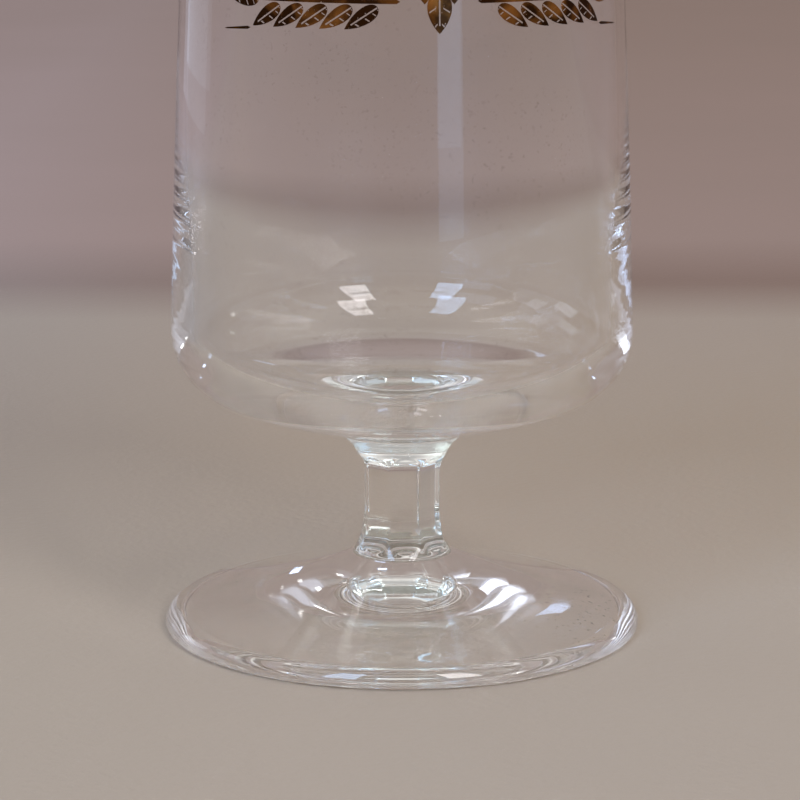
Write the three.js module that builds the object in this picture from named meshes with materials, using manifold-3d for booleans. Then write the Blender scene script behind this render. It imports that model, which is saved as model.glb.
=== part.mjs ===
// A stemmed beer glass of clear soda-lime glass. The bowl narrows towards its rim, the short stem
// has eight ground facets, and the foot is a round cone with a hollow underneath. The three are
// fused while hot. A gold frieze of two barley ears and a hop cone is fired on the front of the
// bowl, with a fill line beside it.
// Millimetres, +Z up. The origin is the centre of the foot, on the surface that the glass stands
// on, and the frieze faces -Y.
import * as THREE from 'three';
import { mergeVertices } from 'three/addons/utils/BufferGeometryUtils.js';
import Module from 'manifold-3d';

// Foot
const footRadius = 35;
const footHeight = 10.85;
const footLowerRound = 0.7;
const footUpperRound = 2.3;
const footStandingWidth = 2.4;
const footHollow = 4.6;
const footTopSlope = 13;
const footTopFullness = 13;
const footJointSlope = 28;
const footJointRun = 4;

// Stem
const stemLength = 17.9;
const stemBlankRadius = 5.9;
const stemFootRadius = 7.4;
const stemBowlRadius = 9;
const lowerFlareLength = 5.9;
const upperFlareLength = 6.75;
const facetCount = 8;
const facetDistance = 5.38;
const facetTurn = 4.9;
const lowerFacetMargin = 0.15;
const upperFacetMargin = 1.1;
const lowerFacetRunOut = 1.2;
const upperFacetRunOut = 0.5;
const upperFacetDelay = 1;

// Bowl
const bowlHeight = 136.25;
const bellyRadius = 33.6;
const bellyAboveJoint = 15.75;
const cornerRadius = 11;
const cornerStartSlope = 26;
const sideLean = 1.7;
const rimRadius = 28.4;
const rimLean = 2.2;
const sideFullness = 40;
const wallThickness = 1.5;
const rimThickness = 1.3;
const cornerThickening = 1.8;
const thickeningHeight = 12.5;
const thickeningFade = 6.5;
const bottomThickness = 4.4;
const floorFlatRadius = 12;
const floorFullness = 8;
const floorCornerFullness = 6;
const undersideFullness = 6.5;
const jointFilletRun = 2.2;
const jointFilletRise = 1.8;

// Gold frieze: its lower edge above the bowl's joint, and its turn from the front
const friezeAboveJoint = 60.85;
const friezeTurn = 9;
const printGap = 0.3;
const printThickness = 0.2;
const kernelLength = 5.4;
const kernelWidth = 2.3;
const kernelPairs = 5;
const kernelPitch = 3.5;
const kernelTilt = 33;
const kernelGap = 0.45;
const stalkWidth = 0.6;
const stalkGap = 3;
const awnLength = 5.2;
const awnWidth = 0.45;
const awnTilt = 4;
const bractLength = 5.4;
const bractWidth = 3.5;
const bractGap = 0.5;
const bractPitch = 3.9;
const bractRows = [1, 2, 3, 2];
const leafLength = 7.5;
const leafWidth = 3.4;
const leafTilt = 24;
const hopStemLength = 3.6;

// Fill line: its height above the floor of the bowl, and its turn from the front
const fillLineAboveFloor = 109.2;
const fillLineLength = 12;
const fillLineWidth = 0.6;
const fillLineTurn = 90;

// Handles of the flares' and the hollow's curves, as shares of each curve's width and height
const lowerFlareHandles = [[0.4, 0.055], [0.8, 0.42]];
const upperFlareHandles = [[0, 0.5], [0.36, 0.74]];
const lowerFacetHandles = [[0.88, 0.07], [0.92, 0.49]];
const upperFacetHandles = [[0, 0.45], [0.19, 0.64]];
const hollowHandles = [[0.45, 0], [0.75, 0.65]];

// Handles of a printed oval, as shares of its length and width
const bluntHandle = [0.02, 0.62];
const fullHandle = [0.55, 0.66];

// Steps round the glass and along its curves, and the length of a bent strip's steps
const roundSteps = 48;
const arcSteps = 4;
const curveSteps = 6;
const sideSteps = 8;
const innerSteps = 12;
const bendStep = 3.5;

const clearGlass = { color: 0xe9efec, roughness: 0.03, metalness: 0 };
const firedGold = { color: 0x8a5a1c, roughness: 0.25, metalness: 1 };
const whiteEnamel = { color: 0xf2f0ea, roughness: 0.5, metalness: 0 };

const glass = new THREE.Group();
const wasm = await Module();
wasm.setup();

function addPiece(name, geometry, finish) {
  const piece = new THREE.Mesh(geometry, new THREE.MeshStandardMaterial(finish));
  piece.name = name;
  glass.add(piece);
}

function radians(degrees) {
  return THREE.MathUtils.degToRad(degrees);
}

// Turns an outline of (radius, height) points round the Z axis, starting at the front.
function turned(outline, steps) {
  return new THREE.LatheGeometry(outline, steps).rotateX(Math.PI / 2);
}

// Carries an outline on from where it is to a point, by a curve with two handles.
function curveTo(path, radius, height, handles) {
  const { x, y } = path.currentPoint;
  const [first, second] = handles.map(([radiusShare, heightShare]) => [
    THREE.MathUtils.lerp(x, radius, radiusShare),
    THREE.MathUtils.lerp(y, height, heightShare)]);
  path.bezierCurveTo(...first, ...second, radius, height);
}

// Merges the corners of a geometry and drops the flat triangles at its poles.
function closedMesh(geometry) {
  const bare = new THREE.BufferGeometry();
  bare.setAttribute('position', geometry.getAttribute('position').clone());
  bare.setIndex(geometry.getIndex().clone());
  const merged = mergeVertices(bare, 1e-5);
  const index = merged.getIndex().array;
  const corners = [];
  for (let i = 0; i < index.length; i += 3) {
    const [a, b, c] = index.slice(i, i + 3);
    if (a !== b && b !== c && c !== a) corners.push(a, b, c);
  }
  return { vertProperties: merged.getAttribute('position').array, triVerts: new Uint32Array(corners) };
}

function toSolid(geometry) {
  return new wasm.Manifold(new wasm.Mesh({ numProp: 3, ...closedMesh(geometry) }));
}

function toGeometry(solid) {
  const mesh = solid.getMesh();
  const geometry = new THREE.BufferGeometry();
  geometry.setAttribute('position', new THREE.BufferAttribute(mesh.vertProperties, 3));
  geometry.setIndex(new THREE.BufferAttribute(mesh.triVerts, 1));
  geometry.computeVertexNormals();
  return geometry;
}

// Foot: a round cone, hollow underneath, that stands on a flat ring just inside its rounded edge.
function footGeometry() {
  const standingOuter = footRadius - footLowerRound;
  const standingInner = standingOuter - footStandingWidth;
  const roundCentre = footRadius - footUpperRound;
  const topEdgeRadius = roundCentre + footUpperRound * Math.sin(radians(footTopSlope));
  const topEdgeHeight = footLowerRound + footUpperRound * Math.cos(radians(footTopSlope));
  const outline = new THREE.Path();
  outline.moveTo(0, footHollow);
  curveTo(outline, standingInner, 0, hollowHandles);
  outline.lineTo(standingOuter, 0);
  outline.absarc(standingOuter, footLowerRound, footLowerRound, radians(-90), 0);
  outline.absarc(roundCentre, footLowerRound, footUpperRound, 0, radians(90 - footTopSlope));
  outline.bezierCurveTo(
    topEdgeRadius - footTopFullness,
    topEdgeHeight + footTopFullness * Math.tan(radians(footTopSlope)),
    stemFootRadius + footJointRun,
    footHeight - footJointRun * Math.tan(radians(footJointSlope)),
    stemFootRadius, footHeight);
  outline.lineTo(0, footHeight);
  return turned(outline.getPoints(curveSteps), roundSteps);
}

// Stem: a round blank that flares at both ends, cut back to eight facets that run out in the
// flares. The flares end at the radii of the foot's and the bowl's joints.
function stemGeometry() {
  const foot = footHeight;
  const bowl = footHeight + stemLength;
  const lowerEnd = foot + lowerFlareLength;
  const upperStart = bowl - upperFlareLength;
  const blank = new THREE.Path();
  blank.moveTo(0, foot);
  blank.lineTo(stemFootRadius, foot);
  curveTo(blank, stemBlankRadius, lowerEnd, lowerFlareHandles);
  blank.lineTo(stemBlankRadius, upperStart);
  curveTo(blank, stemBowlRadius, bowl, upperFlareHandles);
  blank.lineTo(0, bowl);

  const cut = new THREE.Path();
  const below = foot - lowerFlareLength;
  const above = bowl + upperFlareLength;
  cut.moveTo(0, below);
  cut.lineTo(stemFootRadius + lowerFacetRunOut, below);
  cut.lineTo(stemFootRadius + lowerFacetRunOut, foot + lowerFacetMargin);
  curveTo(cut, facetDistance, lowerEnd, lowerFacetHandles);
  cut.lineTo(facetDistance, upperStart + upperFacetDelay);
  curveTo(cut, stemBowlRadius + upperFacetRunOut, bowl - upperFacetMargin, upperFacetHandles);
  cut.lineTo(stemBowlRadius + upperFacetRunOut, above);
  cut.lineTo(0, above);

  const corner = 1 / Math.cos(Math.PI / facetCount);
  const cutter = turned(cut.getPoints(curveSteps), facetCount);
  cutter.scale(corner, corner, 1);
  cutter.rotateZ(radians(facetTurn) + Math.PI / facetCount);
  const round = turned(blank.getPoints(curveSteps), roundSteps);
  return toGeometry(toSolid(round).intersect(toSolid(cutter)));
}

const bowlJointHeight = footHeight + stemLength;
const bellyHeight = bowlJointHeight + bellyAboveJoint;
const overallHeight = bowlJointHeight + bowlHeight;

// Outer side of the bowl, from the end of its corner arc to just under the rim.
function outerSide() {
  const start = new THREE.Vector2(
    bellyRadius - cornerRadius + cornerRadius * Math.cos(radians(sideLean)),
    bellyHeight + cornerRadius * Math.sin(radians(sideLean)));
  const end = new THREE.Vector2(rimRadius, overallHeight - rimThickness / 2);
  return new THREE.CubicBezierCurve(
    start,
    new THREE.Vector2(start.x - sideFullness * Math.tan(radians(sideLean)), start.y + sideFullness),
    new THREE.Vector2(end.x + sideFullness * Math.tan(radians(rimLean)), end.y - sideFullness),
    end);
}

// Radius of the bowl's outer side at a height.
const sidePoints = outerSide().getPoints(sideSteps);
function sideRadius(height) {
  const above = Math.max(1, sidePoints.findIndex((point) => point.y >= height));
  const [low, high] = [sidePoints[above - 1], sidePoints[above]];
  return THREE.MathUtils.mapLinear(height, low.y, high.y, low.x, high.x);
}

// Point on the bowl's inner side at a height. The wall thins a little towards the rim, and thickens
// towards the corner along an S-shaped curve.
function innerPoint(height) {
  const plain = THREE.MathUtils.mapLinear(height, bellyHeight, overallHeight, wallThickness, rimThickness);
  const aboveThickening = (height - bellyHeight - thickeningHeight) / thickeningFade;
  const wall = plain + cornerThickening / (1 + Math.exp(aboveThickening));
  return new THREE.Vector2(sideRadius(height) - wall, height);
}

// Inner side of the bowl from just under the rim to the belly, with its steps closer together
// towards the belly, where the wall thickens.
function innerSide() {
  const rimEdge = overallHeight - rimThickness / 2;
  return Array.from({ length: innerSteps + 1 }, (unused, i) => {
    const share = (1 - i / innerSteps) ** 2;
    return innerPoint(THREE.MathUtils.lerp(bellyHeight, rimEdge, share));
  });
}

// Bowl: a thick bottom over the stem, a round corner, a thin wall and a fire-polished rim.
function bowlGeometry() {
  const floorHeight = bowlJointHeight + bottomThickness;
  const arc = new THREE.Path();
  arc.absarc(bellyRadius - cornerRadius, bellyHeight, cornerRadius,
    radians(cornerStartSlope - 90), radians(sideLean));
  const corner = arc.getPoints(arcSteps);
  const underside = new THREE.CubicBezierCurve(
    new THREE.Vector2(stemBowlRadius, bowlJointHeight),
    new THREE.Vector2(stemBowlRadius + jointFilletRun, bowlJointHeight + jointFilletRise),
    new THREE.Vector2(corner[0].x - undersideFullness,
      corner[0].y - undersideFullness * Math.tan(radians(cornerStartSlope))),
    corner[0]);
  const side = innerSide();
  const belly = side.at(-1);
  const lean = innerPoint(bellyHeight + 1).x - belly.x;
  const floor = new THREE.CubicBezierCurve(
    belly,
    new THREE.Vector2(belly.x - floorCornerFullness * lean, bellyHeight - floorCornerFullness),
    new THREE.Vector2(floorFlatRadius + floorFullness, floorHeight),
    new THREE.Vector2(floorFlatRadius, floorHeight));
  const rim = new THREE.Path();
  rim.absarc(rimRadius - rimThickness / 2, overallHeight - rimThickness / 2, rimThickness / 2,
    0, Math.PI);
  const outline = [
    new THREE.Vector2(0, bowlJointHeight),
    ...underside.getPoints(curveSteps),
    ...corner.slice(1),
    ...outerSide().getPoints(sideSteps).slice(1),
    ...rim.getPoints(arcSteps - 1).slice(1),
    ...side.slice(1),
    ...floor.getPoints(sideSteps).slice(1),
    new THREE.Vector2(0, floorHeight)];
  return turned(outline, roundSteps);
}

// Lays a flat print on the bowl: x runs round it from a turn, y runs up from a height, and the
// print stands a gap off the wall.
function printed(print, height, turn) {
  const radiusThere = sideRadius(height);
  const position = print.getAttribute('position');
  const corner = new THREE.Vector3();
  for (let i = 0; i < position.count; i += 1) {
    corner.fromBufferAttribute(position, i);
    const angle = corner.x / radiusThere + radians(turn);
    const radius = sideRadius(height + corner.y) + printGap + corner.z;
    position.setXYZ(i, radius * Math.sin(angle), -radius * Math.cos(angle), height + corner.y);
  }
  print.computeVertexNormals();
  return print;
}

// A flat pointed oval, from its blunt end at a point to its tip, tilted from the x axis.
function pointedOval(x, y, length, width, tilt) {
  const [bluntX, bluntY] = [bluntHandle[0] * length, bluntHandle[1] * width];
  const [fullX, fullY] = [fullHandle[0] * length, fullHandle[1] * width];
  const shape = new THREE.Shape();
  shape.moveTo(0, 0);
  shape.bezierCurveTo(bluntX, -bluntY, fullX, -fullY, length, 0);
  shape.bezierCurveTo(fullX, fullY, bluntX, bluntY, 0, 0);
  return new THREE.ExtrudeGeometry(shape, {
    depth: printThickness, bevelEnabled: false, curveSegments: arcSteps })
    .rotateZ(radians(tilt))
    .translate(x, y, 0);
}

// A flat strip, from the middle of one end at a point, tilted from the x axis. It has enough steps
// to bend round the bowl.
function strip(x, y, length, width, tilt) {
  return new THREE.BoxGeometry(length, width, printThickness, Math.ceil(length / bendStep), 1, 1)
    .translate(length / 2, 0, printThickness / 2)
    .rotateZ(radians(tilt))
    .translate(x, y, 0);
}

const friezeHeight = bowlJointHeight + friezeAboveJoint;
const kernelReach = kernelLength * Math.sin(radians(kernelTilt)) + kernelWidth / 4;
const stalkHeight = kernelReach + kernelGap + stalkWidth / 2;
const coneHalfWidth = Math.max(...bractRows) * bractWidth / 2;
const stalkStart = coneHalfWidth + stalkGap;
const stalkEnd = stalkStart + kernelPitch * kernelPairs;

function addGold(name, print) {
  addPiece(name, printed(print, friezeHeight, friezeTurn), firedGold);
}

// Barley ear, to the right of the cone where side is 1 and to the left where it is -1: kernels in
// pairs along a stalk, one kernel at its tip, and an awn past each row.
function addEar(ear, side) {
  const tilted = (angle) => (side > 0 ? angle : 180 - angle);
  addGold(`${ear}_stalk`, strip(side * coneHalfWidth, stalkHeight,
    stalkEnd - kernelGap - coneHalfWidth, stalkWidth, tilted(0)));
  for (const [row, up] of [['upper', 1], ['lower', -1]]) {
    const rootHeight = stalkHeight + up * (stalkWidth / 2 + kernelGap);
    const tilt = up * kernelTilt;
    for (let i = 0; i < kernelPairs; i += 1) {
      addGold(`${ear}_${row}_kernel_${i + 1}`, pointedOval(side * (stalkStart + kernelPitch * i),
        rootHeight, kernelLength, kernelWidth, tilted(tilt)));
    }
    const reach = kernelLength + kernelGap;
    const awnX = stalkEnd - kernelPitch + reach * Math.cos(radians(tilt));
    const awnY = rootHeight + reach * Math.sin(radians(tilt));
    addGold(`${ear}_${row}_awn`, strip(side * awnX, awnY, awnLength, awnWidth, tilted(up * awnTilt)));
  }
  addGold(`${ear}_tip_kernel`,
    pointedOval(side * stalkEnd, stalkHeight, kernelLength, kernelWidth, tilted(0)));
}

// Hop cone: bracts in four staggered rows with the tip at the bottom, under a stem and two leaves.
function addHopCone() {
  bractRows.forEach((count, row) => {
    for (let i = 0; i < count; i += 1) {
      const x = (i - (count - 1) / 2) * (bractWidth + bractGap);
      addGold(`hop_bract_${row + 1}_${i + 1}`,
        pointedOval(x, bractPitch * row + bractLength, bractLength, bractWidth, -90));
    }
  });
  const top = bractPitch * (bractRows.length - 1) + bractLength + bractGap;
  const leafX = stalkWidth / 2 + bractGap;
  const leafY = top + leafWidth / 4;
  addGold('hop_stem', strip(0, top, hopStemLength, stalkWidth, 90));
  addGold('hop_leaf_right', pointedOval(leafX, leafY, leafLength, leafWidth, leafTilt));
  addGold('hop_leaf_left', pointedOval(-leafX, leafY, leafLength, leafWidth, 180 - leafTilt));
}

// Fill line: a short level stroke at the glass's nominal volume.
function addFillLine() {
  const height = bowlJointHeight + bottomThickness + fillLineAboveFloor;
  const line = strip(-fillLineLength / 2, 0, fillLineLength, fillLineWidth, 0);
  addPiece('fill_line', printed(line, height, fillLineTurn), whiteEnamel);
}

addPiece('foot', footGeometry(), clearGlass);
addPiece('stem', stemGeometry(), clearGlass);
addPiece('bowl', bowlGeometry(), clearGlass);
addEar('right', 1);
addEar('left', -1);
addHopCone();
addFillLine();

export default glass;
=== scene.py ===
import math

import bpy
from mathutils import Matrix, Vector


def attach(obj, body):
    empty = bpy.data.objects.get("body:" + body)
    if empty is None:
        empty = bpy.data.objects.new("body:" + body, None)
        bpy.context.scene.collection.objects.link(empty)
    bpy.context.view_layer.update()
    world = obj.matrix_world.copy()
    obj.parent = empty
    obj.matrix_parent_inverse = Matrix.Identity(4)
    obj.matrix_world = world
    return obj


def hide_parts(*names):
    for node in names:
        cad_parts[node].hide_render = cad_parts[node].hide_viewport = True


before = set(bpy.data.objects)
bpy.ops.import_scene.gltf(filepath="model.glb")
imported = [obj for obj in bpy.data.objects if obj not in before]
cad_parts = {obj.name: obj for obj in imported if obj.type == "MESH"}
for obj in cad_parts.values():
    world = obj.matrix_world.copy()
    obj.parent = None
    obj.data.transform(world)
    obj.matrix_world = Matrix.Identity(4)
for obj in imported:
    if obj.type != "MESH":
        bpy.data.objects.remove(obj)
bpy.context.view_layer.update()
bpy.ops.object.select_all(action="DESELECT")


# Foot: a round coned disc of clear soda-lime glass, pressed hot and fire-polished. It is hollow
# underneath, so that it stands on a narrow ring, and the stem is fused to its middle. All the
# glass here is bare and bright, with a faint green cast, a thin haze from wear and a little dust.
MM = 0.001
FOOT_RADIUS = 35.0
FOOT_HEIGHT = 10.85
FOOT_LOWER_ROUND = 0.7
FOOT_UPPER_ROUND = 2.3
FOOT_STANDING_WIDTH = 2.4
FOOT_HOLLOW = 4.6
FOOT_TOP_SLOPE = 13
STEM_FOOT_RADIUS = 7.4
FOOT_TOP_FULLNESS = 13.0
FOOT_JOINT_SLOPE = 28
FOOT_JOINT_RUN = 4.0
HOLLOW_HANDLES = ((0.45, 1), (0.75, 0.35))
RING_ROUND = ((-0.3, 0.175), (-0.1, 0.06), (0, 0), (0.4, 0))
RING_STEPS = 6
LOWER_ROUND_STEPS = 8
UPPER_ROUND_STEPS = 20
CURVE_STEPS = 40
FACET_COUNT = 8
FACET_TURN = 4.9
TURN_STEPS = 256
SAME_POINT = 0.001
JOINT_GAP = 0.01
JOINT_TOLERANCE = 0.02
LEVEL_NORMAL = 0.999
GLASS_IOR = 1.52
GLASS_TINT = (0.4, 0.8, 0.72, 1)
GLASS_DENSITY = 0.16
WAVE_HEIGHT = 0.00002
BARE_COLOR = (1, 1, 1, 1)
HAZE_COLOR = (0.985, 0.99, 0.99, 1)
HAZE_EDGES = (0.56, 0.8)
DUST_COLOR = (0.42, 0.38, 0.35, 1)
DUST_PATCHES = 45
DUST_PATCH_EDGES = (0.46, 0.62)
DUST_GRAINS = 1300
DUST_GRAIN_EDGES = (0.66, 0.70)
DUST_ROUGHNESS = 0.3
SMOOTH_ANGLE = 28


class Socket:
    """An output in a finish's node tree. Arithmetic on it adds Math nodes."""

    def __init__(self, finish, output):
        self.finish = finish
        self.output = output

    def math(self, operation, first, second):
        return self.finish.node("ShaderNodeMath", {"operation": operation}, {0: first, 1: second})

    def __add__(self, other):
        return self.math("ADD", self, other)

    def __sub__(self, other):
        return self.math("SUBTRACT", self, other)

    def __rsub__(self, other):
        return self.math("SUBTRACT", other, self)

    def __mul__(self, other):
        return self.math("MULTIPLY", self, other)

    __radd__ = __add__
    __rmul__ = __mul__


class Finish:
    """A material that is built node by node."""

    def __init__(self, name):
        self.material = bpy.data.materials.new(name)
        self.material.use_nodes = True
        self.tree = self.material.node_tree
        self.tree.nodes.clear()

    def node(self, kind, settings=None, sockets=None, output=0):
        """Adds a node with these settings and socket values or links, and gives one output."""
        node = self.tree.nodes.new(kind)
        for key, value in (settings or {}).items():
            if key == "stops":
                elements = node.color_ramp.elements
                for _ in range(len(value) - 2):
                    elements.new(0.5)
                for element, (position, color) in zip(elements, value):
                    element.position = position
                    element.color = color
            else:
                setattr(node, key, value)
        for key, value in (sockets or {}).items():
            if isinstance(value, Socket):
                self.tree.links.new(value.output, node.inputs[key])
            else:
                node.inputs[key].default_value = value
        return Socket(self, node.outputs[output]) if node.outputs else None

    def place(self):
        """The point of the piece in metres."""
        return self.node("ShaderNodeTexCoord", output="Object")

    def noise(self, scale, detail=2, distortion=0):
        """Noise of 0 to 1 with so many waves a metre."""
        return self.node("ShaderNodeTexNoise", {}, {
            "Vector": self.place(), "Scale": scale, "Detail": detail, "Distortion": distortion})

    def ramp(self, value, low, high, low_value=0, high_value=1):
        """A value taken from one range to another and held to its ends."""
        return self.node("ShaderNodeMapRange", {"clamp": True}, {
            "Value": value, "From Min": low, "From Max": high, "To Min": low_value,
            "To Max": high_value})

    def blend(self, factor, first, second):
        """Two colours mixed by a factor."""
        return self.node("ShaderNodeMix", {"data_type": "RGBA"}, {
            0: factor, 6: first, 7: second}, output=2)

    def bump(self, height, distance):
        """A surface that rises by this many metres where the height is 1."""
        return self.node("ShaderNodeBump", {}, {
            "Height": height, "Distance": distance, "Strength": 1})

    def surface(self, shader, volume=None):
        """Ends the tree with this shader, and with what fills the piece, and gives the material."""
        sockets = {"Surface": shader}
        if volume:
            sockets["Volume"] = volume
        self.node("ShaderNodeOutputMaterial", {}, sockets)
        return self.material


def bezier(start, first, second, end, steps):
    """Points along a curve with two handles, from just past its start to its end."""
    points = []
    for i in range(1, steps + 1):
        t = i / steps
        weights = ((1 - t) ** 3, 3 * t * (1 - t) ** 2, 3 * t * t * (1 - t), t ** 3)
        points.append(tuple(
            sum(w * p[axis] for w, p in zip(weights, (start, first, second, end)))
            for axis in (0, 1)))
    return points


def arc(centre, radius, start, end, steps):
    """Points along an arc between two angles in degrees, both ends included."""
    angles = [math.radians(start + (end - start) * i / steps) for i in range(steps + 1)]
    return [(centre[0] + radius * math.cos(angle), centre[1] + radius * math.sin(angle))
            for angle in angles]


def turned(name, outline):
    """Turns an outline of (radius, height) points in millimetres into a closed piece, as on a
    lathe. The outline is drawn point by point beside the axis and spun round it, starting at an
    edge between two facets of the stem."""
    turn = math.radians(FACET_TURN + 180 / FACET_COUNT - 90)
    across = Vector((math.cos(turn), math.sin(turn), 0))
    places = [(across * radius + Vector((0, 0, height))) * MM for radius, height in outline]
    bpy.ops.mesh.primitive_plane_add(size=MM)
    piece = bpy.context.object
    piece.name = piece.data.name = name
    bpy.ops.object.mode_set(mode="EDIT")
    bpy.ops.mesh.merge(type="CENTER")
    bpy.ops.transform.translate(value=places[0])
    for before, after in zip(places, places[1:]):
        bpy.ops.mesh.extrude_region_move(TRANSFORM_OT_translate={"value": after - before})
    bpy.ops.mesh.select_all(action="SELECT")
    bpy.ops.mesh.spin(steps=TURN_STEPS, angle=math.tau, center=(0, 0, 0), axis=(0, 0, 1))
    bpy.ops.mesh.select_all(action="SELECT")
    bpy.ops.mesh.remove_doubles(threshold=SAME_POINT * MM)
    bpy.ops.mesh.normals_make_consistent(inside=False)
    bpy.ops.object.mode_set(mode="OBJECT")
    bpy.ops.object.transform_apply(location=True, rotation=True, scale=True)
    return piece


def glass_body(finish):
    """The faint green of the glass, which grows with the way that light goes through it."""
    return finish.node("ShaderNodeVolumeAbsorption", {}, {
        "Color": GLASS_TINT, "Density": GLASS_DENSITY})


def open_joint(piece, *heights):
    """Marks the flat faces where this piece is fused to the next one, and smooths the others.
    Light passes straight through a marked face, because the real glass has no surface there."""
    inside = Finish("fused_joint")
    piece.data.materials.append(inside.surface(inside.node("ShaderNodeBsdfTransparent"),
                                               glass_body(inside)))
    for face in piece.data.polygons:
        level = abs(face.normal.z) > LEVEL_NORMAL
        if level and any(abs(face.center.z - height * MM) < JOINT_TOLERANCE * MM
                         for height in heights):
            face.material_index = 1
    bpy.ops.object.select_all(action="DESELECT")
    piece.select_set(True)
    bpy.context.view_layer.objects.active = piece
    bpy.ops.object.shade_smooth_by_angle(angle=math.radians(SMOOTH_ANGLE))


def clear_glass(name, wave_scale, haze_scale, haze, dust):
    """Clear glass whose surface waves a little, with a thin haze from wear and dish-washing, and
    with fine grains of dust where it gathers."""
    finish = Finish(name)
    waves = finish.noise(wave_scale, detail=1)
    smears = finish.ramp(finish.noise(haze_scale, detail=4, distortion=0.6), *HAZE_EDGES)
    gathered = finish.ramp(finish.noise(DUST_PATCHES, detail=3), *DUST_PATCH_EDGES)
    grains = finish.ramp(finish.noise(DUST_GRAINS, detail=2), *DUST_GRAIN_EDGES) * gathered * dust
    smeared = finish.blend(smears, BARE_COLOR, HAZE_COLOR)
    glass = finish.node("ShaderNodeBsdfPrincipled", {}, {
        "Base Color": finish.blend(grains, smeared, DUST_COLOR),
        "Roughness": smears * haze + grains * DUST_ROUGHNESS,
        "IOR": GLASS_IOR,
        "Transmission Weight": 1.0,
        "Normal": finish.bump(waves, WAVE_HEIGHT)})
    return finish.surface(glass, glass_body(finish))


def foot_outline():
    """From the middle of the hollow, round the edge and up to the joint with the stem."""
    outer = FOOT_RADIUS - FOOT_LOWER_ROUND
    inner = outer - FOOT_STANDING_WIDTH
    round_centre = FOOT_RADIUS - FOOT_UPPER_ROUND
    ring_edge = [(inner + outwards, up) for outwards, up in RING_ROUND]
    outline = [(0, FOOT_HOLLOW)]
    first, second = [(inner * along, FOOT_HOLLOW * up) for along, up in HOLLOW_HANDLES]
    outline += bezier(outline[0], first, second, ring_edge[0], CURVE_STEPS)
    outline += bezier(*ring_edge, RING_STEPS)
    outline += arc((outer, FOOT_LOWER_ROUND), FOOT_LOWER_ROUND, -90, 0, LOWER_ROUND_STEPS)
    outline += arc((round_centre, FOOT_LOWER_ROUND), FOOT_UPPER_ROUND,
                   0, 90 - FOOT_TOP_SLOPE, UPPER_ROUND_STEPS)[1:]
    edge = outline[-1]
    slope = math.tan(math.radians(FOOT_TOP_SLOPE))
    end_slope = math.tan(math.radians(FOOT_JOINT_SLOPE))
    outline += bezier(edge, (edge[0] - FOOT_TOP_FULLNESS, edge[1] + FOOT_TOP_FULLNESS * slope),
                      (STEM_FOOT_RADIUS + FOOT_JOINT_RUN, FOOT_HEIGHT - FOOT_JOINT_RUN * end_slope),
                      (STEM_FOOT_RADIUS, FOOT_HEIGHT), CURVE_STEPS)
    return outline + [(0, FOOT_HEIGHT)]


foot = turned("glass_foot", foot_outline())
foot.data.materials.append(clear_glass("foot_glass", wave_scale=90, haze_scale=60, haze=0.05,
                                       dust=0.8))
open_joint(foot, FOOT_HEIGHT)
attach(foot, "root")
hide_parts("foot")


# Stem: a short solid stem of the same glass that flares at both ends. Eight facets are pressed
# into it and run out in the flares. Its ends are fused to the foot and to the bowl.
STEM_LENGTH = 17.9
STEM_BLANK_RADIUS = 5.9
STEM_BOWL_RADIUS = 9.0
LOWER_FLARE = 5.9
UPPER_FLARE = 6.75
FACET_DISTANCE = 5.38
LOWER_FACET_MARGIN = 0.15
UPPER_FACET_MARGIN = 1.1
LOWER_FACET_RUN_OUT = 1.2
UPPER_FACET_RUN_OUT = 0.5
UPPER_FACET_DELAY = 1.0
EDGE_SOFTNESS = 0.05
END_SOFTNESS = 0.3
SOFT_LENGTH = 4.0
FADE_LENGTH = 1.5
FLARE_STEPS = 48
SHAFT_STEPS = 16
LOWER_FLARE_HANDLES = ((0.40, 0.055), (0.80, 0.42))
UPPER_FLARE_HANDLES = ((0, 0.5), (0.36, 0.74))
LOWER_FACET_HANDLES = ((0.88, 0.07), (0.92, 0.49))
UPPER_FACET_HANDLES = ((0, 0.45), (0.19, 0.64))
STEM_TOP = FOOT_HEIGHT + STEM_LENGTH


def by_handles(start, end, handles, steps):
    """A curve whose handles are given as shares of its width and height."""
    first, second = [tuple(a + (b - a) * share for a, b, share in zip(start, end, handle))
                     for handle in handles]
    return bezier(start, first, second, end, steps)


def between(outline, height):
    """Radius of an outline that climbs, at a height."""
    for (r0, z0), (r1, z1) in zip(outline, outline[1:]):
        if z0 <= height <= z1 and z1 > z0:
            return r0 + (r1 - r0) * (height - z0) / (z1 - z0)
    return outline[-1][0]


lower_end = FOOT_HEIGHT + LOWER_FLARE
upper_start = STEM_TOP - UPPER_FLARE
blank = [(STEM_FOOT_RADIUS, FOOT_HEIGHT)]
blank += by_handles(blank[0], (STEM_BLANK_RADIUS, lower_end), LOWER_FLARE_HANDLES, FLARE_STEPS)
blank += [(STEM_BLANK_RADIUS, lower_end + (upper_start - lower_end) * i / SHAFT_STEPS)
          for i in range(1, SHAFT_STEPS + 1)]
blank += by_handles(blank[-1], (STEM_BOWL_RADIUS, STEM_TOP), UPPER_FLARE_HANDLES, FLARE_STEPS)

facet = [(STEM_FOOT_RADIUS + LOWER_FACET_RUN_OUT, FOOT_HEIGHT + LOWER_FACET_MARGIN)]
facet += by_handles(facet[0], (FACET_DISTANCE, lower_end), LOWER_FACET_HANDLES, FLARE_STEPS)
facet.append((FACET_DISTANCE, upper_start + UPPER_FACET_DELAY))
facet += by_handles(facet[-1], (STEM_BOWL_RADIUS + UPPER_FACET_RUN_OUT,
                                STEM_TOP - UPPER_FACET_MARGIN), UPPER_FACET_HANDLES, FLARE_STEPS)

stem_start = FOOT_HEIGHT + JOINT_GAP
stem_end = STEM_TOP - JOINT_GAP
stem = turned("glass_stem", [(0, stem_start), (STEM_FOOT_RADIUS, stem_start)] + blank[1:-1]
              + [(STEM_BOWL_RADIUS, stem_end), (0, stem_end)])
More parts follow.
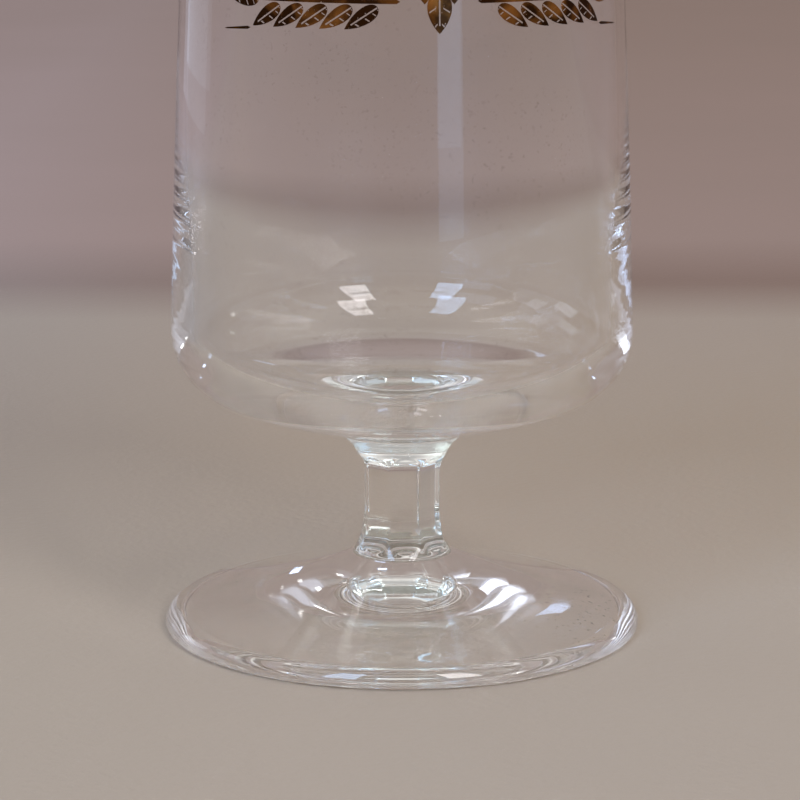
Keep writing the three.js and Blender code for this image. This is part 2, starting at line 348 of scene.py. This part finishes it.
# Each point of the side is drawn in to the nearer facet, and the edges between facets, and between
# a facet and the round blank, are softened as fire polishing leaves them.
facet_span = 360 / FACET_COUNT
for vertex in stem.data.vertices:
    height = vertex.co.z / MM
    if not facet[0][1] < height < facet[-1][1]:
        continue
    round_radius = math.hypot(vertex.co.x, vertex.co.y) / MM
    azimuth = math.degrees(math.atan2(vertex.co.x, -vertex.co.y)) - FACET_TURN
    from_middle = (azimuth + facet_span / 2) % facet_span - facet_span / 2
    from_next_middle = facet_span - abs(from_middle)
    distance = between(facet, height)
    reaches = [round_radius, distance / math.cos(math.radians(from_middle)),
               distance / math.cos(math.radians(from_next_middle))]
    least = min(reaches)
    from_end = min(height - FOOT_HEIGHT, STEM_TOP - height)
    near_end = max(0, 1 - from_end / SOFT_LENGTH)
    softness = EDGE_SOFTNESS + (END_SOFTNESS - EDGE_SOFTNESS) * near_end ** 2
    softened = least - softness * math.log(
        sum(math.exp((least - reach) / softness) for reach in reaches))
    radius = least + (softened - least) * min(1, from_end / FADE_LENGTH)
    vertex.co.x *= radius / round_radius
    vertex.co.y *= radius / round_radius
stem.data.materials.append(clear_glass("stem_glass", wave_scale=160, haze_scale=120, haze=0.03,
                                       dust=0.2))
open_joint(stem, stem_start, stem_end)
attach(stem, "root")
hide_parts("stem")


# Bowl: the drinking vessel, blown in a mould, with a thick bottom and corner that thin upwards to
# the fire-polished rim. It is fused to the stem.
BOWL_HEIGHT = 136.25
BELLY_RADIUS = 33.6
BELLY_ABOVE_JOINT = 15.75
CORNER_RADIUS = 11.0
CORNER_START = 26
SIDE_LEAN = 1.7
RIM_RADIUS = 28.4
RIM_LEAN = 2.2
SIDE_FULLNESS = 40
WALL = 1.5
RIM_WALL = 1.3
BOTTOM = 4.4
CORNER_EXTRA = 1.8
CORNER_FADE = 6.5
CORNER_FADE_HEIGHT = 12.5
FLOOR_FLAT = 12.0
FLOOR_FULLNESS = 8
FLOOR_CORNER_FULLNESS = 6
JOINT_FULLNESS = (2.2, 1.8)
CORNER_FULLNESS = 6.5
SIDE_STEPS = 50
INNER_STEPS = 80
INNER_START = 0.5
FLOOR_STEPS = 60
RIM_STEPS = 16
TOP = STEM_TOP + BOWL_HEIGHT
BELLY = STEM_TOP + BELLY_ABOVE_JOINT

corner_centre = (BELLY_RADIUS - CORNER_RADIUS, BELLY)
outer_corner = arc(corner_centre, CORNER_RADIUS, CORNER_START - 90, SIDE_LEAN, CURVE_STEPS)
before_corner = (outer_corner[0][0] - CORNER_FULLNESS,
                 outer_corner[0][1] - CORNER_FULLNESS * math.tan(math.radians(CORNER_START)))
underside = bezier((STEM_BOWL_RADIUS, STEM_TOP),
                   (STEM_BOWL_RADIUS + JOINT_FULLNESS[0], STEM_TOP + JOINT_FULLNESS[1]),
                   before_corner, outer_corner[0], CURVE_STEPS)
side_start = outer_corner[-1]
side_end = (RIM_RADIUS, TOP - RIM_WALL / 2)
outer_side = bezier(
    side_start,
    (side_start[0] - SIDE_FULLNESS * math.tan(math.radians(SIDE_LEAN)),
     side_start[1] + SIDE_FULLNESS),
    (side_end[0] + SIDE_FULLNESS * math.tan(math.radians(RIM_LEAN)),
     side_end[1] - SIDE_FULLNESS),
    side_end, SIDE_STEPS)


def side_radius(height):
    """Radius of the bowl's outer side at a height."""
    return between([side_start] + outer_side, height)


def wall_at(height):
    """Thickness of the bowl's wall at a height."""
    share = (height - BELLY) / (TOP - BELLY)
    return (WALL + (RIM_WALL - WALL) * share
            + CORNER_EXTRA / (1 + math.exp((height - BELLY - CORNER_FADE_HEIGHT) / CORNER_FADE)))


inner_depth = side_end[1] - BELLY - INNER_START
inner_heights = [side_end[1] - inner_depth * i / INNER_STEPS for i in range(INNER_STEPS + 1)]
inner_side = [(side_radius(height) - wall_at(height), height) for height in inner_heights]
inner_end = inner_side[-1]
inner_slope = (inner_side[-1][0] - inner_side[-4][0]) / (inner_side[-4][1] - inner_side[-1][1])
floor_height = STEM_TOP + BOTTOM
floor = bezier(inner_end, (inner_end[0] + FLOOR_CORNER_FULLNESS * inner_slope,
                           inner_end[1] - FLOOR_CORNER_FULLNESS),
               (FLOOR_FLAT + FLOOR_FULLNESS, floor_height), (FLOOR_FLAT, floor_height),
               FLOOR_STEPS)
floor += [(0, floor_height)]
rim = arc((RIM_RADIUS - RIM_WALL / 2, TOP - RIM_WALL / 2), RIM_WALL / 2, 0, 180,
          RIM_STEPS)[1:-1]
bowl = turned("glass_bowl", [(0, STEM_TOP), (STEM_BOWL_RADIUS, STEM_TOP)] + underside
              + outer_corner[1:] + outer_side + rim + inner_side + floor)
bowl.data.materials.append(clear_glass("bowl_glass", wave_scale=60, haze_scale=40, haze=0.03,
                                       dust=0.3))
open_joint(bowl, STEM_TOP)
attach(bowl, "root")
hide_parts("bowl")


# Barley ears: two ears that point away from a hop cone, printed on the bowl in liquid gold through
# a screen and fired on. Each kernel, awn and stalk is a film of its own with bare glass between,
# and the kernels have fine bare lines, as in an engraving.
FRIEZE_HEIGHT = STEM_TOP + 60.85
FRIEZE_TURN = 9.0
FILM_GAP = 0.01
FILM_THICKNESS = 0.03
FILM_SAME_POINT = 0.002
FILM_SMOOTH_ANGLE = 30
PATCH_START = (0.02, 0.62)
PATCH_END = (0.55, 0.66)
PATCH_ROWS = (-1, -0.86, -0.6, -0.3, 0, 0, 0.3, 0.6, 0.86, 1)
PATCH_STEPS = 14
LINED_ROWS = (0.3, 0.86)
FIRST_LINE = 0.16
LINES_REACH = 0.62
BARE_LINE = 0.16
VEIN_WIDTH = 0.2
VEIN_SHARE = 0.2
VEIN_REACH = (0.1, 0.84)
KERNEL_LENGTH = 5.4
KERNEL_WIDTH = 2.3
KERNEL_LINES = 4
KERNEL_SLANT = -0.35
KERNEL_PAIRS = 5
KERNEL_PITCH = 3.5
KERNEL_TILT = 33
KERNEL_GAP = 0.45
STALK_WIDTH = 0.6
STALK_TIP_WIDTH = 0.42
STALK_GAP = 3.0
STALK_STEPS = 40
AWN_LENGTH = 5.2
AWN_WIDTH = 0.45
AWN_TIP_WIDTH = 0.16
AWN_TILT = 4
AWN_STEPS = 10
CONE_HALF_WIDTH = 5.25
# The front gold's two colours are painted light: a near-black painted dark reflection and an orange
# painted glint, mixed by the mottle.
GOLD_PAINTED_DARK_REFLECTION = (0.06, 0.026, 0.01, 1)
GOLD_PAINTED_GLINT = (0.62, 0.26, 0.06, 1)
UNDERSIDE_DARK = (0.20, 0.105, 0.035, 1)
UNDERSIDE_BRIGHT = (0.30, 0.17, 0.06, 1)
MOTTLE_WAVES = 160
MOTTLE_EDGES = (0.47, 0.72)
MOTTLE_DULL_EDGES = (0.35, 0.75)
MOTTLE_DULLNESS = 0.12
PINHOLES = 2600
PINHOLE_EDGES = (0.685, 0.70)
GOLD_GRAIN = 1800
GOLD_GRAIN_HEIGHT = 0.000004


def gilding(name, dark, bright, shine, dullness):
    """Fired gold, mottled between a dark and a bright colour, with pinholes where the print has
    worn. On the front print the mottle is painted light, a painted dark reflection and a painted
    orange glint; on the underside it follows the thickness of the film.
    """
    finish = Finish(name)
    mottle = finish.noise(MOTTLE_WAVES, detail=6, distortion=0.8)
    worn = finish.ramp(finish.noise(PINHOLES, detail=3), *PINHOLE_EDGES)
    return finish.surface(finish.node("ShaderNodeBsdfPrincipled", {}, {
        "Base Color": finish.blend(finish.ramp(mottle, *MOTTLE_EDGES), dark, bright),
        "Metallic": shine,
        "Roughness": finish.ramp(mottle, *MOTTLE_DULL_EDGES, dullness, dullness + MOTTLE_DULLNESS),
        "Alpha": 1 - worn,
        "Normal": finish.bump(finish.noise(GOLD_GRAIN, detail=2), GOLD_GRAIN_HEIGHT)}))


# On the front print the mottle paints dark reflections and orange glints into the gold's colour.
gold_front = gilding("fired_gold", GOLD_PAINTED_DARK_REFLECTION, GOLD_PAINTED_GLINT, shine=1.0, dullness=0.07)
gold_back = gilding("fired_gold_underside", UNDERSIDE_DARK, UNDERSIDE_BRIGHT, shine=0.6,
                    dullness=0.35)


def sheet(name, columns, rows, front, back):
    """A square sheet, 2 on each side, of so many quads in columns and rows. Its first finish is
    that of its front and its second that of its back."""
    bpy.ops.object.select_all(action="DESELECT")
    bpy.ops.mesh.primitive_grid_add(size=2, x_subdivisions=columns, y_subdivisions=rows)
    piece = bpy.context.object
    piece.name = piece.data.name = name
    piece.data.materials.append(front)
    piece.data.materials.append(back)
    return piece


def thicken(piece, thickness):
    """Gives a flat film its thickness and its underside its own finish."""
    bpy.ops.object.mode_set(mode="EDIT")
    bpy.ops.mesh.select_all(action="SELECT")
    bpy.ops.mesh.remove_doubles(threshold=FILM_SAME_POINT * MM)
    bpy.ops.object.mode_set(mode="OBJECT")
    solid = piece.modifiers.new("thickness", "SOLIDIFY")
    solid.thickness = thickness * MM
    solid.offset = 1
    bpy.ops.object.modifier_apply(modifier=solid.name)
    for face in piece.data.polygons:
        face.material_index = 1 if face.normal.z < -0.5 else 0


def patch(name, length, width, lines, slant, sides):
    """A flat film along +X, blunt at its start and pointed at its end. Its middle vein is left
    bare, and so are this many slanted lines on each of these sides."""
    starts = [FIRST_LINE + LINES_REACH * i / (lines - 1) for i in range(lines)]
    ends = [start + BARE_LINE / length for start in starts]
    columns = sorted({i / PATCH_STEPS for i in range(PATCH_STEPS + 1)} | set(starts) | set(ends))
    piece = sheet(name, len(columns) - 1, len(PATCH_ROWS) - 1, gold_front, gold_back)
    places = {}
    for vertex in piece.data.vertices:
        i = round((vertex.co.x + 1) / 2 * (len(columns) - 1))
        j = round((vertex.co.y + 1) / 2 * (len(PATCH_ROWS) - 1))
        places[vertex.index] = (i, j)
        row = PATCH_ROWS[j]
        t = columns[i] + slant * abs(row) * columns[i] * (1 - columns[i])
        first, last = 3 * t * (1 - t) ** 2, 3 * t * t * (1 - t)
        half = width * (PATCH_START[1] * first + PATCH_END[1] * last)
        vein = min(VEIN_WIDTH / 2, VEIN_SHARE * half) * (1 if j >= len(PATCH_ROWS) / 2 else -1)
        vertex.co = Vector((length * (PATCH_START[0] * first + PATCH_END[0] * last + t ** 3),
                            row * half if row else vein, 0)) * MM
    bpy.ops.object.mode_set(mode="EDIT")
    bpy.ops.mesh.select_mode(type="FACE")
    bpy.ops.mesh.select_all(action="DESELECT")
    bpy.ops.object.mode_set(mode="OBJECT")
    for face in piece.data.polygons:
        corners = [places[index] for index in face.vertices]
        middle = sum(columns[i] for i, _ in corners) / len(corners)
        shares = [PATCH_ROWS[j] for _, j in corners]
        in_vein = max(shares) == min(shares) == 0 and VEIN_REACH[0] < middle < VEIN_REACH[1]
        in_rows = any(min(side * share for share in shares) >= LINED_ROWS[0]
                      and max(side * share for share in shares) <= LINED_ROWS[1] for side in sides)
        in_line = any(start < middle < end for start, end in zip(starts, ends))
        face.select = in_vein or (in_rows and in_line)
    bpy.ops.object.mode_set(mode="EDIT")
    bpy.ops.mesh.delete(type="FACE")
    bpy.ops.object.mode_set(mode="OBJECT")
    thicken(piece, FILM_THICKNESS)
    return piece


def bar(name, length, width, end_width, steps, front, back, thickness):
    """A flat film along +X that tapers from one width to the other, with rounded ends."""
    piece = sheet(name, steps, 2, front, back)
    for vertex in piece.data.vertices:
        t = (vertex.co.x + 1) / 2
        half = (width + (end_width - width) * t) / 2
        near_end = min(t * length, (1 - t) * length)
        if near_end < half:
            half = math.sqrt(max(0, half ** 2 - (half - near_end) ** 2))
        vertex.co = Vector((t * length, vertex.co.y * half, 0)) * MM
    thicken(piece, thickness)
    return piece


def lay_on_bowl(piece, x, y, tilt, height, turn, flipped=False):
    """Bends a flat film round the bowl's outer side, with its start at a point of the print and
    tilted from the level."""
    around = side_radius(height) * MM
    tilt, turn = math.radians(tilt), math.radians(turn)
    for vertex in piece.data.vertices:
        along, across, out = vertex.co
        across = -across if flipped else across
        right = x * MM + along * math.cos(tilt) - across * math.sin(tilt)
        up = y * MM + along * math.sin(tilt) + across * math.cos(tilt)
        angle = right / around + turn
        radius = (side_radius(height + up / MM) + FILM_GAP) * MM + out
        vertex.co = (radius * math.sin(angle), -radius * math.cos(angle), height * MM + up)
    bpy.ops.object.select_all(action="DESELECT")
    piece.select_set(True)
    bpy.context.view_layer.objects.active = piece
    if flipped:
        bpy.ops.object.mode_set(mode="EDIT")
        bpy.ops.mesh.select_all(action="SELECT")
        bpy.ops.mesh.flip_normals()
        bpy.ops.object.mode_set(mode="OBJECT")
    bpy.ops.object.shade_smooth_by_angle(angle=math.radians(FILM_SMOOTH_ANGLE))


def printed(piece, node, slot, *place, **options):
    """Prints a piece of its own from a flat film in place of one CAD node."""
    copy = piece.copy()
    copy.data = piece.data.copy()
    copy.name = copy.data.name = "print_" + node
    bpy.context.collection.objects.link(copy)
    lay_on_bowl(copy, *place, **options)
    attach(copy, "root")
    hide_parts(node)


def clear_away(*pieces):
    """Takes away the flat films once their copies are printed."""
    for piece in pieces:
        bpy.data.objects.remove(piece)


kernel_reach = KERNEL_LENGTH * math.sin(math.radians(KERNEL_TILT)) + KERNEL_WIDTH / 4
stalk_height = kernel_reach + KERNEL_GAP + STALK_WIDTH / 2
stalk_start = CONE_HALF_WIDTH + STALK_GAP
stalk_end = stalk_start + KERNEL_PITCH * KERNEL_PAIRS
frieze = {"height": FRIEZE_HEIGHT, "turn": FRIEZE_TURN}
kernel = patch("kernel", KERNEL_LENGTH, KERNEL_WIDTH, KERNEL_LINES, KERNEL_SLANT, (-1,))
tip_kernel = patch("tip_kernel", KERNEL_LENGTH, KERNEL_WIDTH, KERNEL_LINES, KERNEL_SLANT, (-1, 1))
awn = bar("awn", AWN_LENGTH, AWN_WIDTH, AWN_TIP_WIDTH, AWN_STEPS, gold_front, gold_back,
          FILM_THICKNESS)
stalk_length = stalk_end - KERNEL_GAP - CONE_HALF_WIDTH
stalk = bar("stalk", stalk_length, STALK_WIDTH, STALK_TIP_WIDTH, STALK_STEPS, gold_front,
            gold_back, FILM_THICKNESS)
for side, ear in ((1, "right"), (-1, "left")):
    level = 0 if side > 0 else 180
    printed(stalk, f"{ear}_stalk", "fired_gold", side * CONE_HALF_WIDTH, stalk_height, level,
            **frieze)
    printed(tip_kernel, f"{ear}_tip_kernel", "fired_gold", side * stalk_end, stalk_height,
            level, **frieze)
    for up, row in ((1, "upper"), (-1, "lower")):
        root = stalk_height + up * (STALK_WIDTH / 2 + KERNEL_GAP)
        for i in range(KERNEL_PAIRS):
            printed(kernel, f"{ear}_{row}_kernel_{i + 1}", "fired_gold",
                    side * (stalk_start + KERNEL_PITCH * i), root,
                    level + side * up * KERNEL_TILT, flipped=side < 0, **frieze)
        reach = KERNEL_LENGTH + KERNEL_GAP
        slope = math.radians(KERNEL_TILT)
        printed(awn, f"{ear}_{row}_awn", "fired_gold",
                side * (stalk_end - KERNEL_PITCH + reach * math.cos(slope)),
                root + up * reach * math.sin(slope), level + side * up * AWN_TILT, **frieze)
clear_away(kernel, tip_kernel, awn, stalk)


# Hop cone: eight scales in rows that reach into each other, under a short stem with two leaves.
# It is printed in the same gold between the ears and fired on with them.
BRACT_LENGTH = 5.4
BRACT_WIDTH = 3.5
BRACT_GAP = 0.5
BRACT_PITCH = 3.9
BRACT_ROWS = (1, 2, 3, 2)
BRACT_LINES = 3
BRACT_SLANT = 0.6
LEAF_LENGTH = 7.5
LEAF_WIDTH = 3.4
LEAF_LINES = 5
LEAF_SLANT = 0.55
LEAF_TILT = 24
LEAF_OFFSET = 0.8
LEAF_RISE = 0.85
HOP_STEM_LENGTH = 3.6
HOP_STEM_TIP_WIDTH = 0.5
HOP_STEM_STEPS = 8

bract = patch("bract", BRACT_LENGTH, BRACT_WIDTH, BRACT_LINES, BRACT_SLANT, (-1, 1))
leaf = patch("leaf", LEAF_LENGTH, LEAF_WIDTH, LEAF_LINES, LEAF_SLANT, (-1, 1))
hop_stem = bar("hop_stem", HOP_STEM_LENGTH, STALK_WIDTH, HOP_STEM_TIP_WIDTH, HOP_STEM_STEPS,
               gold_front, gold_back, FILM_THICKNESS)
for row, count in enumerate(BRACT_ROWS):
    for i in range(count):
        printed(bract, f"hop_bract_{row + 1}_{i + 1}", "fired_gold",
                (i - (count - 1) / 2) * (BRACT_WIDTH + BRACT_GAP),
                BRACT_PITCH * row + BRACT_LENGTH, -90, **frieze)
cone_top = BRACT_PITCH * (len(BRACT_ROWS) - 1) + BRACT_LENGTH + BRACT_GAP
printed(hop_stem, "hop_stem", "fired_gold", 0, cone_top, 90, **frieze)
leaf_height = cone_top + LEAF_RISE
printed(leaf, "hop_leaf_right", "fired_gold", LEAF_OFFSET, leaf_height, LEAF_TILT, **frieze)
printed(leaf, "hop_leaf_left", "fired_gold", -LEAF_OFFSET, leaf_height, 180 - LEAF_TILT, **frieze)
clear_away(bract, leaf, hop_stem)


# Fill line: a short level line of white enamel at the nominal volume, about a quarter turn from
# the print. It is screen-printed too, thicker than the gold, and slightly grainy.
FILL_LINE_ABOVE_FLOOR = 109.2
FILL_LINE_LENGTH = 12.0
FILL_LINE_WIDTH = 0.6
FILL_LINE_TURN = 90
FILL_LINE_STEPS = 48
ENAMEL_THICKNESS = 0.08
ENAMEL_COLORS = ((0.74, 0.73, 0.69, 1), (0.84, 0.83, 0.80, 1))
ENAMEL_ROUGHNESS = (0.32, 0.5)
ENAMEL_GRAIN = 3000
ENAMEL_GRAIN_EDGES = (0.3, 0.7)
ENAMEL_GRAIN_HEIGHT = 0.00002

enamel = Finish("white_enamel")
grain = enamel.noise(ENAMEL_GRAIN, detail=3)
enamel_finish = enamel.surface(enamel.node("ShaderNodeBsdfPrincipled", {}, {
    "Base Color": enamel.blend(grain, *ENAMEL_COLORS),
    "Roughness": enamel.ramp(grain, *ENAMEL_GRAIN_EDGES, *ENAMEL_ROUGHNESS),
    "Normal": enamel.bump(grain, ENAMEL_GRAIN_HEIGHT)}))
fill_line = bar("line", FILL_LINE_LENGTH, FILL_LINE_WIDTH, FILL_LINE_WIDTH, FILL_LINE_STEPS,
                enamel_finish, enamel_finish, ENAMEL_THICKNESS)
printed(fill_line, "fill_line", "white_enamel", -FILL_LINE_LENGTH / 2, 0, 0,
        height=STEM_TOP + BOTTOM + FILL_LINE_ABOVE_FLOOR, turn=FILL_LINE_TURN)
clear_away(fill_line)


# Table: a pale floor. Its colour turns from beige to mauve well behind the glass, a little
# differently at the left and the right. Painted shade is laid into it: it is a dark, cool grey in
# front, standing in for the dim room that the glass and the gold reflect; it darkens into a painted
# shadow a little behind the glass, most at the left; and it darkens into a dark painted shadow line
# where the far table meets the mauve. It isn't part of the glass.
TABLE_SIZE = 60
TABLE_DROP = 0.0001
# Stops in metres behind the glass. The dark front is painted shade, the dip at 0.12 m is a painted
# shadow, and the dip at 0.30 m is a painted shadow line before the mauve.
TABLE_STOPS = (-0.26, -0.12, 0.0, 0.12, 0.25, 0.30, 0.37)
FRONT_PAINTED_SHADE = (0.24, 0.24, 0.25, 1)
LEFT_NEAR = (0.375, 0.328, 0.27, 1)
LEFT_TONES_AND_PAINTED_SHADE = (FRONT_PAINTED_SHADE, LEFT_NEAR, LEFT_NEAR, (0.295, 0.264, 0.244, 1),
               (0.337, 0.308, 0.287, 1), (0.281, 0.239, 0.242, 1), (0.36, 0.282, 0.283, 1))
RIGHT_NEAR = (0.386, 0.327, 0.269, 1)
RIGHT_TONES_AND_PAINTED_SHADE = (FRONT_PAINTED_SHADE, RIGHT_NEAR, RIGHT_NEAR, (0.35, 0.285, 0.224, 1),
                (0.349, 0.286, 0.237, 1), (0.219, 0.147, 0.12, 1), (0.307, 0.221, 0.192, 1))
LEFT_END = -0.14
RIGHT_START = -0.02
CLOUD_COLOR = (0.2, 0.165, 0.13, 1)
CLOUD_WAVES = 9
CLOUD_EDGES = (0.3, 0.8)
CLOUD_STRENGTH = 0.1
TABLE_ROUGHNESS = 0.55
TABLE_GLOSS = 0.25
TABLE_GRAIN = 700
TABLE_GRAIN_HEIGHT = 0.0001

bpy.ops.mesh.primitive_plane_add(size=TABLE_SIZE, location=(0, 0, -TABLE_DROP))
table = bpy.context.object
table.name = "stage_table"
bpy.ops.object.transform_apply(location=True)
top = Finish("table_top")
place = top.place()
across = top.node("ShaderNodeSeparateXYZ", {}, {0: place}, output="X")
back = top.node("ShaderNodeSeparateXYZ", {}, {0: place}, output="Y")
left, right = [
    top.node("ShaderNodeValToRGB", {"stops": [
        ((metres + 1) / 2, color) for metres, color in zip(TABLE_STOPS, colors)]},
        {0: (back + 1) * 0.5})
    for colors in (LEFT_TONES_AND_PAINTED_SHADE, RIGHT_TONES_AND_PAINTED_SHADE)]
# The beige and mauve tones with their painted shade, blended from the left to the right.
tones_and_painted_shade = top.blend(top.ramp(across, LEFT_END, RIGHT_START), left, right)
clouds = top.ramp(top.noise(CLOUD_WAVES, detail=5), *CLOUD_EDGES, 0, CLOUD_STRENGTH)
table.data.materials.append(top.surface(top.node("ShaderNodeBsdfPrincipled", {}, {
    "Base Color": top.blend(clouds, tones_and_painted_shade, CLOUD_COLOR),
    "Roughness": TABLE_ROUGHNESS,
    "Specular IOR Level": TABLE_GLOSS,
    "Normal": top.bump(top.noise(TABLE_GRAIN, detail=4), TABLE_GRAIN_HEIGHT)})))


# Light: a room with dim walls and a bright ceiling, dimmer overhead, that starts lower behind the
# glass. Windows and two pale side walls stand around the glass, where its reflections ask for
# them.
SKY_STOPS = ((0.40, (0.34, 0.275, 0.25, 1)), (0.62, (0.92, 0.895, 0.855, 1)),
             (0.80, (0.92, 0.895, 0.855, 1)), (0.97, (0.45, 0.44, 0.43, 1)))
SKY_LOWERED_BEHIND = 0.35


class Room(Finish):
    """The light that comes from all around, built node by node as a finish is."""

    def __init__(self, world):
        world.use_nodes = True
        self.tree = world.node_tree
        self.tree.nodes.clear()


scene = bpy.context.scene
world = scene.world or bpy.data.worlds.new("room")
scene.world = world
room = Room(world)
towards = room.node("ShaderNodeTexCoord", output="Generated")
upwards = room.node("ShaderNodeSeparateXYZ", {}, {0: towards}, output="Z")
backwards = room.node("ShaderNodeSeparateXYZ", {}, {0: towards}, output="Y")
behind = backwards.math("MAXIMUM", backwards, 0)
glow = room.node("ShaderNodeValToRGB", {"stops": SKY_STOPS},
                 {0: upwards - behind * SKY_LOWERED_BEHIND})
sky = room.node("ShaderNodeBackground", {}, {"Color": glow})
room.node("ShaderNodeOutputWorld", {}, {"Surface": sky})


def window(name, azimuth, distance, low, high, width, color):
    """An upright window between two heights that faces the glass. Its azimuth is counted from
    straight behind the glass towards +X, and its colour is that of its panes, where 1 is white."""
    turn = math.radians(azimuth)
    place = Vector((math.sin(turn) * distance, math.cos(turn) * distance, (low + high) / 2))
    bpy.ops.object.light_add(type="AREA", location=place)
    lamp = bpy.context.object
    lamp.name = name
    lamp.data.shape = "RECTANGLE"
    lamp.data.size = width
    lamp.data.size_y = high - low
    strongest = max(color)
    lamp.data.energy = strongest * width * (high - low) * math.pi
    lamp.data.color = [share / strongest for share in color]
    lamp.rotation_euler = (math.radians(90), 0, math.pi - turn)
    lamp.visible_camera = False


window("window_left", -61, 0.9, 0.14, 0.34, 0.33, (1.35, 1.5, 1.75))
window("window_far_left", -84, 0.9, 0.33, 0.62, 0.2, (1.3, 1.45, 1.7))
window("window_left_foot", -50, 0.95, 0.0, 0.13, 0.5, (0.24, 0.28, 0.36))
window("window_behind", 7, 0.9, 0.29, 0.34, 0.05, (1.5, 2.0, 3.0))
window("window_front_right", 149, 1.2, 0.55, 1.9, 0.36, (9.5, 9.2, 9.4))
window("window_front_left", -150, 1.2, 0.40, 1.7, 0.34, (4.2, 6.0, 9.0))
window("window_behind_left", -136, 1.2, 0.20, 0.62, 0.5, (0.6, 0.8, 1.2))
window("pale_wall_left", -80, 1.0, 0.15, 0.7, 1.0, (0.48, 0.56, 0.74))
window("pale_wall_right", 80, 1.0, 0.15, 0.7, 1.0, (0.34, 0.39, 0.48))
window("window_right", 54, 1.0, 0.26, 0.34, 0.06, (5.0, 5.0, 5.0))
window("glimpse", 156.5, 0.8, 0.0, 0.3, 0.17, (0.42, 0.64, 0.95))


# Camera: a long lens a little above the print's height, at the photograph's own angle. Light may
# cross the glass many times on its way, and none of it is blurred or cut off.
CAMERA_PLACE = (-0.00029, -0.430, 0.1241)
CAMERA_TILT = 11.9
SENSOR_WIDTH = 36
LENS = 135
NEAREST = 0.01
MOST_BOUNCES = 64
MOST_OPEN_JOINTS = 24

bpy.ops.object.camera_add(location=CAMERA_PLACE, rotation=(math.radians(90 - CAMERA_TILT), 0, 0))
camera = bpy.context.object
camera.data.sensor_width = SENSOR_WIDTH
camera.data.lens = LENS
camera.data.clip_start = NEAREST
scene.camera = camera
scene.view_settings.view_transform = "Standard"
scene.cycles.max_bounces = MOST_BOUNCES
scene.cycles.transmission_bounces = MOST_BOUNCES
scene.cycles.glossy_bounces = MOST_BOUNCES
scene.cycles.transparent_max_bounces = MOST_OPEN_JOINTS
scene.cycles.blur_glossy = 0
scene.cycles.sample_clamp_indirect = 0
